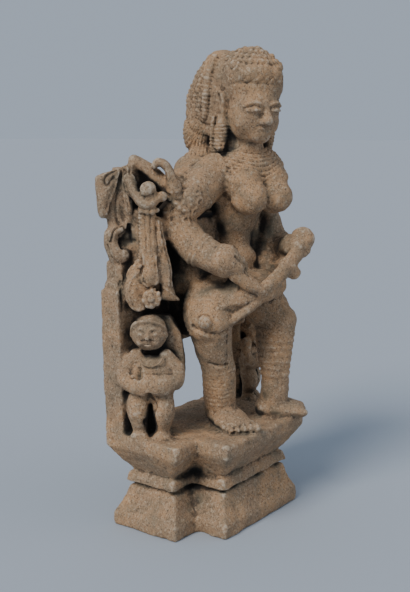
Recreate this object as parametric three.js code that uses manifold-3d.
// A seated goddess with a stick zither and two attendants, carved from one block of sandstone.
// Millimetres, +Z up, the front of the carving towards -Y, her left hand towards +X.
import * as THREE from 'three';
import { mergeVertices } from 'three/addons/utils/BufferGeometryUtils.js';
import Module from 'manifold-3d';

const wasm = await Module();
wasm.setup();

// Plan of the base: a middle projection and a wing on each side
const projectionWidth = 152;
const projectionDepth = 38;
const wingWidth = 35;
const wingDepth = 94;

// Heights of the mouldings of the base, from the ground up
const plinthHeight = 14;
const flareHeight = 30;
const lowerGrooveHeight = 4.5;
const filletHeight = 10.5;
const upperGrooveHeight = 4;
const chamferHeight = 26;
const fasciaHeight = 11;
const roundHeight = 3;

// How far each moulding stands back from the face of the slab
const plinthInset = 5;
const flareInset = 17;
const grooveInset = 22;
const filletInset = 14;
const filletTopInset = 16.5;
const chamferInset = 18.5;
const roundInset = 3;

// The figure: its height above the slab, its place and how far it turns to its right
const figureHeight = 397;
const figureForward = 20;
const figureAside = 20;
const figureTurn = -16;
const headTurn = -10;
const headTilt = 8;

// The attendants: heights, places along the sides of the block and how far they turn outwards
const attendantHeight = 124;
const attendantTurn = -58;
const fartherAttendantHeight = 100;
const fartherAttendantTurn = -25;

// The stone behind: two posts, a slab from hip to shoulder and a leaf panel over each post
const postWidth = 30;
const postDepth = 24;
const postHeight = 152;
const postMargin = 0.5;
const postSpread = 5.5;
const slabThickness = 26;
const slabBottom = 84;
const slabTop = 240;
const seatRise = 12;
const seatHeight = 126;
const panelHeight = 278;
const panelReach = 62;

// The small chip at the foot of the projection, beside the right wing
const chipSize = 9;

const wingBack = (projectionDepth + wingDepth) / 2;
const wingFront = wingBack - wingDepth;
const projectionFront = -wingBack;
const halfProjection = projectionWidth / 2;
const halfWidth = halfProjection + wingWidth;
const baseHeight = plinthHeight + flareHeight + lowerGrooveHeight + filletHeight
  + upperGrooveHeight + chamferHeight + fasciaHeight + roundHeight;
const bury = 2;

// Makes a joinable solid from a closed geometry
function solid(geometry) {
  const bare = geometry.clone();
  bare.deleteAttribute('normal');
  bare.deleteAttribute('uv');
  const merged = mergeVertices(bare, 1e-5);
  const vertProperties = new Float32Array(merged.attributes.position.array);
  const triVerts = new Uint32Array(merged.index.array);
  return new wasm.Manifold(new wasm.Mesh({ numProp: 3, vertProperties, triVerts }));
}

// The other hand of a geometry, mirrored across the middle of the block
function otherHand(geometry) {
  const copy = geometry.index ? geometry.clone() : mergeVertices(geometry.clone());
  copy.applyMatrix4(new THREE.Matrix4().makeScale(-1, 1, 1));
  const order = copy.index.array;
  for (let i = 0; i < order.length; i += 3) {
    [order[i], order[i + 1]] = [order[i + 1], order[i]];
  }
  return copy;
}

// A round-ended limb along a smooth line. A station is [x, y, z, across, deep]: a point of the
// line and the half widths of the section there. facing says which way deep is measured.
function limb(stations, options = {}) {
  const { sides = 6, steps = 4, facing = [0, 1, 0], carve = () => 1, cap = 1 } = options;
  const line = new THREE.CatmullRomCurve3(
    stations.map(([x, y, z]) => new THREE.Vector3(x, y, z)), false, 'centripetal');
  const rows = steps + 2 * cap;
  const geometry = new THREE.SphereGeometry(1, sides, rows);
  const place = geometry.attributes.position;
  const reference = new THREE.Vector3(...facing);
  const vertex = new THREE.Vector3();
  const last = stations.length - 1;
  for (let i = 0; i < place.count; i += 1) {
    vertex.fromBufferAttribute(place, i);
    const row = Math.round(Math.acos(THREE.MathUtils.clamp(vertex.y, -1, 1)) / Math.PI * rows);
    const angle = Math.atan2(vertex.z, vertex.x);
    const onPole = row === 0 || row === rows;
    const run = THREE.MathUtils.clamp((row - cap) / steps, 0, 1);
    const before = Math.max(0, cap - row) / cap;
    const after = Math.max(0, row - rows + cap) / cap;
    const roundness = Math.cos(Math.max(before, after) * Math.PI / 2);
    const overshoot = Math.sin(after * Math.PI / 2) - Math.sin(before * Math.PI / 2);
    const reach = run * last;
    const from = Math.min(Math.floor(reach), last - 1);
    const share = THREE.MathUtils.smoothstep(reach - from, 0, 1);
    const across = THREE.MathUtils.lerp(stations[from][3], stations[from + 1][3], share);
    const deep = THREE.MathUtils.lerp(stations[from][4], stations[from + 1][4], share);
    const centre = line.getPoint(run);
    const along = line.getTangent(run);
    const side = new THREE.Vector3().crossVectors(reference, along).normalize();
    const back = new THREE.Vector3().crossVectors(along, side);
    const swell = onPole ? 0 : roundness * carve(run, angle);
    centre.addScaledVector(side, Math.cos(angle) * across * swell);
    centre.addScaledVector(back, Math.sin(angle) * deep * swell);
    centre.addScaledVector(along, overshoot * Math.min(across, deep));
    place.setXYZ(i, centre.x, centre.y, centre.z);
  }
  return geometry;
}

// A rounded mass: centre, half sizes, and a lean about each axis in degrees
function mass(centre, half, options = {}) {
  const { sides = 7, rows = 5, lean = [0, 0, 0], carve = () => 1 } = options;
  const geometry = new THREE.SphereGeometry(1, sides, rows);
  geometry.rotateX(Math.PI / 2);
  const place = geometry.attributes.position;
  const vertex = new THREE.Vector3();
  const turn = new THREE.Euler(...lean.map(THREE.MathUtils.degToRad));
  for (let i = 0; i < place.count; i += 1) {
    vertex.fromBufferAttribute(place, i);
    const pole = Math.hypot(vertex.x, vertex.y) < 1e-6;
    vertex.multiplyScalar(carve(pole ? 0 : Math.atan2(vertex.y, vertex.x), vertex.z));
    vertex.multiply(new THREE.Vector3(...half)).applyEuler(turn);
    vertex.add(new THREE.Vector3(...centre));
    place.setXYZ(i, vertex.x, vertex.y, vertex.z);
  }
  return geometry;
}

// A block between two corners
function block(low, high) {
  const [x, y, z] = low.map((value, i) => high[i] - value);
  return new THREE.BoxGeometry(x, y, z).translate(low[0] + x / 2, low[1] + y / 2, low[2] + z / 2);
}

// A flat outline in the plane seen from the front, as thick as given from its back face forward
function panel(outline, back, thickness) {
  const shape = new THREE.Shape(outline.map(([x, z]) => new THREE.Vector2(x, z)));
  const geometry = new THREE.ExtrudeGeometry(shape, { depth: thickness, bevelEnabled: false });
  return geometry.rotateX(Math.PI / 2).translate(0, back, 0);
}

// Moves shapes made in hundredths of a height to their place on the slab
function placeFor(height, x, y, turn) {
  const unit = height / 100;
  return new THREE.Matrix4().makeTranslation(x, y, baseHeight)
    .multiply(new THREE.Matrix4().makeRotationZ(THREE.MathUtils.degToRad(turn)))
    .multiply(new THREE.Matrix4().makeScale(unit, unit, unit));
}

// The moulded base: its plan drawn once and stepped in and out level by level
function base() {
  const levels = [
    [0, plinthInset],
    [plinthHeight, plinthInset],
    [plinthHeight + flareHeight * 0.45, plinthInset + (flareInset - plinthInset) * 0.58],
    [plinthHeight + flareHeight, flareInset],
  ];
  let height = plinthHeight + flareHeight;
  const step = (rise, inset) => {
    height += rise;
    levels.push([height, inset]);
  };
  step(0.6, grooveInset);
  step(lowerGrooveHeight - 1.2, grooveInset);
  step(0.6, filletInset);
  step(filletHeight, filletTopInset);
  step(0.6, grooveInset);
  step(upperGrooveHeight - 1.2, grooveInset);
  step(0.6, chamferInset);
  step(chamferHeight, 0);
  step(fasciaHeight, 0);
  step(roundHeight * 0.6, roundInset * 0.25);
  step(roundHeight * 0.4, roundInset);
  const plan = new THREE.Shape([
    [-halfWidth, wingBack], [-halfWidth, wingFront], [-halfProjection, wingFront],
    [-halfProjection, projectionFront], [halfProjection, projectionFront],
    [halfProjection, wingFront], [halfWidth, wingFront], [halfWidth, wingBack],
  ].map(([x, y]) => new THREE.Vector2(x, y)));
  const steps = levels.length - 1;
  const geometry = new THREE.ExtrudeGeometry(plan, { depth: steps, steps, bevelEnabled: false });
  const place = geometry.attributes.position;
  for (let i = 0; i < place.count; i += 1) {
    const [level, inset] = levels[Math.round(place.getZ(i))];
    const x = place.getX(i);
    const y = place.getY(i);
    place.setXYZ(i, x - Math.sign(x) * inset, y + (y > wingBack - 1 ? -inset : inset), level);
  }
  return geometry;
}

// One post, a little wider at its top, with the curling leaves that grow over it, on her right
function post() {
  const outer = -halfWidth + postMargin;
  const inner = outer + postWidth;
  const back = wingBack - postMargin;
  const top = baseHeight + postHeight;
  const crest = baseHeight + panelHeight;
  const shaft = block([outer, back - postDepth, baseHeight - bury], [inner, back, top]);
  const place = shaft.attributes.position;
  for (let i = 0; i < place.count; i += 1) {
    if (place.getZ(i) > baseHeight && place.getX(i) < outer + 1) {
      place.setX(i, outer - postSpread);
    }
  }
  const shoulder = limb([
    [outer + 2, back - 12, top, 5, 12], [outer + 15, back - 12, top + 6, 6, 12],
    [inner, back - 12, top + 2, 4, 11],
  ], { sides: 6, steps: 2 });
  return [shaft, shoulder, ...leaves(outer - postSpread, back - 10, top, crest)];
}

// The leaves of a panel: an outer tongue, a lobe that curls below it and a spike behind them
function leaves(outer, middle, top, crest) {
  const rise = crest - top;
  const at = (aside, forward, share, across, deep) => (
    [outer + aside, middle - forward, top + rise * share, across, deep]);
  return [
    limb([at(4, -2, 0.94, 11.5, 9), at(3, -2, 0.82, 10, 9), at(2, -4, 0.61, 5, 7)],
      { sides: 6, steps: 3, facing: [0.81, 0.58, 0] }),
    limb([at(22, 9, 0.97, 9, 8), at(21, 9, 0.8, 7.6, 8), at(21.5, 10, 0.54, 5.4, 7),
      at(9, 1, 0.45, 7.6, 8.4), at(11, 5, 0.3, 9.4, 9), at(14.5, 9, 0.27, 8.8, 8.8)],
    { sides: 6, steps: 6, facing: [0.81, 0.58, 0] }),
    limb([at(12, 0, 0.97, 9, 9), at(15, 0, 0.36, 8, 8), at(18, 1, 0.09, 9, 9)],
      { sides: 6, steps: 2, facing: [0.81, 0.58, 0] }),
  ];
}

// The slab between the posts, lower behind her shoulders and higher beside the panels
function backSlab() {
  const side = halfWidth - postMargin - postWidth / 2;
  const inner = halfWidth - postMargin - panelReach;
  const low = baseHeight + slabBottom;
  const high = baseHeight + slabTop;
  const crest = baseHeight + panelHeight;
  const half = [[side, low], [side, crest - 3], [inner + 8, crest - 9], [inner, crest - 22],
    [inner - 12, high + 4], [inner - 30, high]];
  const otherHalf = half.map(([x, z]) => [-x, z]).reverse();
  return panel([...half, ...otherHalf], wingBack - postMargin, slabThickness);
}

// The scarf that hangs over the attendant, a ball at its top, with flared ends where it is seen
function scarf(withLobes) {
  const x = -halfWidth + postMargin;
  const y = wingFront + wingDepth * 0.47;
  const z = baseHeight;
  const facing = [0.81, 0.58, 0];
  const pleated = (run, angle) => 1 + 0.1 * Math.cos(3 * angle);
  const lobes = [
    limb([[x + 13, y + 12, z + 179, 4, 9], [x + 9.5, y + 16, z + 158, 8.6, 10],
      [x + 12, y + 11, z + 138, 8, 10]], { sides: 7, facing }),
    limb([[x + 28.5, y - 1.5, z + 223, 3.2, 8], [x + 30, y - 4, z + 203, 5, 8.5],
      [x + 32, y - 7, z + 180, 6.4, 8.5], [x + 32.5, y - 10, z + 148, 8.4, 6.5]],
    { sides: 6, steps: 4, facing }),
    limb([[x + 30, y - 6, z + 146, 5, 5.5], [x + 40, y - 18.5, z + 142.6, 2.2, 3]],
      { sides: 5, steps: 1, facing }),
    mass([x + 14.5, y - 2, z + 149], [9, 9, 10], { sides: 8, rows: 6 }),
  ];
  return [
    mass([x + 12.5, y - 2, z + 253], [8.4, 8.4, 8.2]),
    limb([[x + 13.5, y + 23, z + 263, 5, 7], [x + 11.5, y + 7, z + 243, 5.4, 9],
      [x + 19.5, y - 7, z + 244, 4.6, 8]], { sides: 6, steps: 4, facing }),
    mass([x + 23.5, y - 11, z + 247], [5.8, 5.8, 5.8], { sides: 6, rows: 4 }),
    limb([[x + 19.7, y + 4, z + 240, 6.8, 8.5], [x + 20, y + 3.5, z + 201, 9, 9.4],
      [x + 20.5, y + 3, z + 187, 10, 9.6], [x + 19.5, y + 1, z + 163, 6, 9]],
    { sides: 8, steps: 3, facing, carve: pleated }),
    mass([x + 18.5, y + 0.6, z + 168], [9.6, 9.6, 13.5]),
    ...(withLobes ? lobes : []),
    block([x + 17.5, y + 10, z + 155], [x + 38.5, wingBack - 2, z + 233]),
  ];
}

// A pot-bellied attendant in hundredths of its height, facing -Y, against stone left behind it
function attendant(backing) {
  const bothSides = (make) => [make(-1), make(1)];
  return [
    mass([0, -1, 49], [18.5, 13, 20]),
    mass([-1, -1.5, 88], [14.5, 13, 15.5]),
    ...bothSides((s) => limb([[s * 12, 0, 68, 6.5, 6.3], [s * 21.5, -1, 58, 6.3, 6.3],
      [s * 21, -4, 48, 6.6, 6.6]], { sides: 6, steps: 2 })),
    limb([[-20, -4, 48, 7.6, 7], [-12, -10.6, 46, 8.6, 7], [0, -12.6, 45.4, 9, 7],
      [12, -10.6, 46, 8.6, 7], [20, -4, 48, 7.6, 7]], { sides: 6 }),
    ...bothSides((s) => limb([[s * 10, -1, 34, 8.6, 8.6], [s * 10.5, -4.5, 22, 9.4, 9.8],
      [s * 9.5, -1, 6, 5.6, 7]], { sides: 6, steps: 2 })),
    ...bothSides((s) => limb([[s * 9, 3, 2.5, 6, 3], [s * 9.5, -9, 1.5, 7, 3]],
      { sides: 5, steps: 1, facing: [0, 0, 1] })),
    panel(backing, 22, 14),
  ];
}

// Legs, feet, lap and hips of the goddess
function lowerBody() {
  const rings = (first, gap, depth) => (run) => (
    run < first ? 1 : 1 + depth * Math.cos((run - first) / gap * 2 * Math.PI));
  return [
    mass([-0.5, 5, 35.5], [11.5, 8.5, 7.5]),
    limb([[-6, 5, 36.5, 7, 7], [-11, 1, 33.5, 7.4, 7.4], [-14.8, -3.6, 29.6, 6.6, 6.6]],
      { sides: 8, steps: 3 }),
    limb([[-14.4, -3.6, 29, 6.2, 6.2], [-11.8, -2.4, 21.5, 5.4, 5.4],
      [-9, -1, 15, 4.7, 4.7], [-7.4, 0.3, 4, 4.3, 4.3]],
    { sides: 8, steps: 4 }),
    limb([[5, 4, 35, 6.8, 6.8], [7.6, 0, 30.6, 6.2, 6.2], [9.4, -4, 26.6, 4.9, 4.9]],
      { sides: 8, steps: 3 }),
    limb([[9.3, -4, 26.6, 4.7, 4.7], [8.5, -4, 21, 4.4, 4.4], [8.2, -4, 13, 3.9, 3.9],
      [8.1, -3.8, 3.6, 3.6, 3.6]],
    { sides: 7, steps: 9, carve: rings(1 / 6, 2 / 9, 0.04) }),
    limb([[6.6, -0.4, 31, 2.4, 2.4], [6.4, -1, 23, 1.9, 2], [6.8, -1.8, 14, 1.6, 1.8]],
      { sides: 5, steps: 2 }),
    limb([[-6.4, 1.6, 2, 4.4, 2.2], [-8.4, -4.2, 2, 5, 2.4], [-9.4, -9.4, 1.3, 5, 1.5]],
      { steps: 3, facing: [0, 0, 1] }),
    limb([[6.4, -1.6, 2, 4.4, 2.4], [10.6, -4.5, 2, 4.8, 2.2], [14.4, -7.6, 1.3, 4.4, 1.5]],
      { steps: 3, facing: [0, 0, 1] }),
    limb([[-15, -3.5, 33.4, 4, 4], [-8, -6, 35.8, 5.5, 3.8], [-1, -4.5, 37, 6.5, 4.4],
      [6.5, -3, 37, 5, 3.8]], { facing: [0, 0, 1] }),
    mass([-18.6, -7, 30.2], [2.7, 2.7, 2.3], { sides: 6, rows: 4 }),
  ];
}

// Trunk, breasts, neck and the broad chest under the necklaces
function upperBody() {
  return [
    limb([[-0.5, 4, 38, 7.8, 6.2], [-0.5, 4.2, 44, 5.8, 4.8], [-0.5, 4.2, 50, 5.5, 4.6],
      [-0.5, 2.6, 57, 7.6, 5.4], [0, 1.8, 63, 9.4, 5.4], [0, 1.6, 67, 7.8, 4.8]],
    { sides: 8 }),
    mass([-0.4, -0.2, 43], [5, 3.4, 4.4]),
    ...[-1, 1].flatMap((s) => [
      mass([1.2 + s * 4.5, -5.7, 61.2], [4.8, 5, 4.7]),
      mass([1.1 + s * 4.5, -3.2, 65], [5.5, 5, 5.4]),
    ]),
    mass([1.7, -0.8, 67.4], [10.6, 6, 7.2], { sides: 10 }),
    limb([[0, 1, 65, 4.8, 4.6], [0, -0.6, 71, 4.2, 4.2], [0, -1.2, 77, 4, 4]],
      { sides: 7, steps: 2 }),
  ];
}

// The front pair of arms, which hold the zither
function arms() {
  const bracelets = (run) => 1 + (run > 0.5 ? 0.08 * Math.cos(run * 6 * Math.PI) : 0);
  return [
    limb([[-8.2, 2.5, 67, 5.6, 5], [-14, 1.6, 63.6, 5.7, 5.2], [-18.6, 1.6, 60, 5, 4.8],
      [-21.3, 2.6, 56.6, 4.4, 4.4]], { sides: 8 }),
    mass([-12.6, 6.4, 67.2], [5.2, 4.6, 5]),
    mass([-7.8, 8, 70.2], [6, 4, 4.4]),
    limb([[-21.4, 2.8, 55, 4.8, 4.6], [-18.6, -1, 49.8, 4.6, 4.4], [-15.8, -5.8, 46.6, 4.1, 3.9],
      [-14, -8, 45.4, 3.9, 3.7]], { carve: bracelets }),
    mass([-13.7, -8.8, 45.8], [4.7, 3.7, 4.2]),
    mass([-11.2, -10, 44.2], [3.8, 2.9, 3.3]),
    limb([[9.6, 3, 65.8, 4.6, 4.6], [11.4, 5.2, 56.5, 4, 4], [13.4, 3.4, 49, 4, 4]],
      { steps: 3 }),
    limb([[13.8, 3, 48, 4, 4], [12.2, -3, 46, 3.8, 3.8], [9.8, -8.4, 47.8, 3.3, 3.3]],
      { sides: 7, steps: 3 }),
    limb([[11.4, 3, 54, 2.6, 3], [9.4, 1.6, 47, 2.8, 3], [7.6, -1, 42, 3, 3]],
      { sides: 6, steps: 2 }),
    mass([9.6, -9.4, 47.4], [3.2, 3, 3.2]),
    limb([[6, 5.4, 54, 2.8, 3.2], [6, 5.2, 46, 2.8, 2.8], [7, 3.4, 39, 3, 3.2]],
      { sides: 6, steps: 2 }),
    limb([[7, 1.6, 40, 2.8, 3], [9.4, -3, 41, 2.4, 2.6], [8.6, -8, 42.6, 2.2, 2.4]],
      { sides: 6, steps: 2 }),
  ];
}

// The raised rear arm beside a panel, its broken hand left as a bar and a hooked lobe
function rearArm() {
  const x = -halfWidth + postMargin;
  const z = baseHeight;
  return [
    limb([[x + 74, 16, z + 262, 15, 14.2], [x + 52, 15, z + 254, 13, 12],
      [x + 41, 7, z + 250, 8.5, 9]], { steps: 3, facing: [0.81, 0.58, 0] }),
    limb([[x + 43, 7, z + 246, 7, 8], [x + 39, 6, z + 263, 5.6, 7],
      [x + 35.5, 9.6, z + 275.6, 4.8, 6.5], [x + 30.5, 16.4, z + 280.6, 4.2, 5.5],
      [x + 26.5, 19, z + 276, 3.8, 4.5]],
    { sides: 6, steps: 5, facing: [0.81, 0.58, 0] }),
    limb([[x + 50.5, 14, z + 247, 9, 10], [x + 38, 17.5, z + 261.5, 6, 8],
      [x + 31, 32.6, z + 274, 5.4, 7], [x + 25, 44, z + 282, 5, 6.4]],
    { sides: 6, steps: 3, facing: [0.5, 0.36, 0.8] }),
  ];
}

// The stick zither across the lap, its gourd at her left broken at the rim
function zither() {
  return [
    limb([[-5, -12.4, 37, 1.3, 1.7], [3.5, -12.5, 42.4, 2.1, 2], [9.5, -12.2, 47.2, 2.3, 2.2]],
      { sides: 6, steps: 2 }),
    mass([10.6, -11.6, 48.8], [4.2, 3.4, 4.4]),
    limb([[5, -12, 43, 2.4, 2.2], [7.4, -12, 40.8, 1.9, 1.8]], { sides: 5, steps: 1 }),
    limb([[-11.4, -8.4, 30, 1.6, 2], [-6, -10.2, 34, 1.8, 2.2], [-0.5, -11, 37, 1.5, 2]],
      { sides: 6, steps: 2 }),
    limb([[-11.5, -10.4, 42.4, 2.2, 2.1], [-4, -12.6, 36.8, 1.1, 1.6]], { sides: 6, steps: 1 }),
    limb([[-9, -7, 38.6, 2.6, 3.2], [-3, -9.4, 36.4, 2.6, 4], [3, -8, 37.6, 2.6, 3.2]],
      { sides: 6, steps: 2 }),
  ];
}

// The head in hundredths of the figure's height, about the top of the neck, facing -Y
function head() {
  const curled = (angle, height) => (
    1 + 0.04 * Math.cos(6 * angle) * Math.cos(7 * Math.acos(height)));
  const ribbed = (angle, height) => 1 + 0.05 * Math.cos(5 * angle + 8 * height);
  const towardKnot = [0.47, 0.88, 0];
  return [
    mass([0, -1.4, 10.4], [6.9, 7.3, 9], { sides: 8, rows: 6 }),
    mass([0.5, 1.6, 17.3], [8.5, 9, 8.7], { sides: 12, rows: 6, carve: curled }),
    mass([-1.6, 5, 4.6], [5.6, 5.2, 7.8]),
    mass([0, -5.9, 4.9], [3.1, 2.4, 2.5]),
    limb([[0, -8, 12.6, 0.9, 0.8], [0, -8.9, 10.4, 1, 1], [0, -9.5, 8.7, 1.25, 1.2]],
      { sides: 6, steps: 2 }),
    mass([0, -7.8, 5.9], [1.8, 0.8, 0.8], { sides: 6, rows: 4 }),
    limb([[-3.8, 8.2, 20.4, 5.4, 4.6], [-5.8, 9.8, 14, 6.2, 6.2], [-6.7, 10.9, 7.9, 5.9, 5.6]],
      { sides: 8, steps: 3, cap: 2, facing: towardKnot }),
    mass([-7.2, 11.6, 3.4], [6, 5.1, 7.4], { lean: [0, 0, 26], carve: ribbed }),
    mass([2.6, 8.2, 12], [6, 5.6, 9.5]),
    limb([[-8.4, 5.8, 23, 0.8, 1.2], [-10, 5.4, 18, 0.95, 1.4], [-10.3, 5.4, 12.5, 0.95, 1.4],
      [-9.9, 5.8, 8.2, 0.8, 1.2]], { sides: 6, steps: 3, facing: towardKnot }),
    ...[-1, 1].flatMap((s) => [
      mass([s * 6.9, 3.4, 12.2], [1.2, 3, 4.6]),
      limb([[s * 7, 1.4, 7.2, 1.6, 1.7], [s * 7.1, 1.5, 4.4, 1.9, 1.8],
        [s * 7.2, 1.8, 0.8, 1.6, 1.7]], { sides: 7, steps: 2, facing: towardKnot }),
    ]),
  ];
}

// Joins all shapes of the block into one body
function sandstoneBlock() {
  const inFigure = placeFor(figureHeight, figureAside, -figureForward, figureTurn);
  const onNeck = inFigure.clone().multiply(new THREE.Matrix4().makeTranslation(0, -0.8, 73.4))
    .multiply(new THREE.Matrix4().makeRotationZ(THREE.MathUtils.degToRad(headTurn)))
    .multiply(new THREE.Matrix4().makeRotationX(THREE.MathUtils.degToRad(headTilt)));
  const aside = -halfProjection - wingWidth * 0.42;
  const midWing = wingFront + wingDepth * 0.5;
  const nearer = placeFor(attendantHeight, aside, midWing, attendantTurn);
  const farther = placeFor(fartherAttendantHeight, aside, midWing + bury, fartherAttendantTurn);
  const tallBacking = [[-20, -1], [14, -1], [16, 34], [26, 44], [27, 56], [24, 84], [14, 100],
    [-6, 102], [-20, 90], [-23, 60]];
  const shortBacking = [[-20, -1], [4, -1], [6, 40], [15, 54], [17, 100], [-22, 100], [-24, 60]];
  const stonework = (isSeen) => [...post(), ...scarf(isSeen), ...rearArm()];
  const herRight = [...stonework(true),
    ...attendant(tallBacking).map((shape) => shape.applyMatrix4(nearer))];
  const herLeft = [...stonework(false),
    ...attendant(shortBacking).map((shape) => shape.applyMatrix4(farther))];
  const seatBottom = baseHeight + slabBottom + seatRise;
  const seat = block([-halfProjection * 0.5, bury, seatBottom],
    [halfProjection * 0.75, wingBack - bury, seatBottom + seatHeight]);
  const figure = [...lowerBody(), ...upperBody(), ...arms(), ...zither()]
    .map((shape) => shape.applyMatrix4(inFigure));
  const shapes = [base(), backSlab(), seat, ...herRight, ...herLeft.map(otherHand), ...figure,
    ...head().map((shape) => shape.applyMatrix4(onNeck))];
  const chip = mass([-halfProjection + plinthInset, wingFront + plinthInset - chipSize, 0],
    [chipSize * 0.5, chipSize, chipSize], { sides: 7, rows: 4 });
  const joined = shapes.map(solid).reduce((whole, shape) => whole.add(shape));
  return joined.subtract(solid(chip)).simplify(0.3);
}

// Turns a joined solid back into a mesh with a stone finish
function stoneMesh(name, body) {
  const { vertProperties, triVerts } = body.getMesh();
  const geometry = new THREE.BufferGeometry();
  geometry.setAttribute('position', new THREE.BufferAttribute(new Float32Array(vertProperties), 3));
  geometry.setIndex(new THREE.BufferAttribute(new Uint32Array(triVerts), 1));
  geometry.computeVertexNormals();
  const material = new THREE.MeshStandardMaterial({ color: 0xa58a68, roughness: 0.92, metalness: 0 });
  const mesh = new THREE.Mesh(geometry, material);
  mesh.name = name;
  return mesh;
}

const statue = new THREE.Group();
statue.add(stoneMesh('saraswati_figure', sandstoneBlock()));
export default statue;
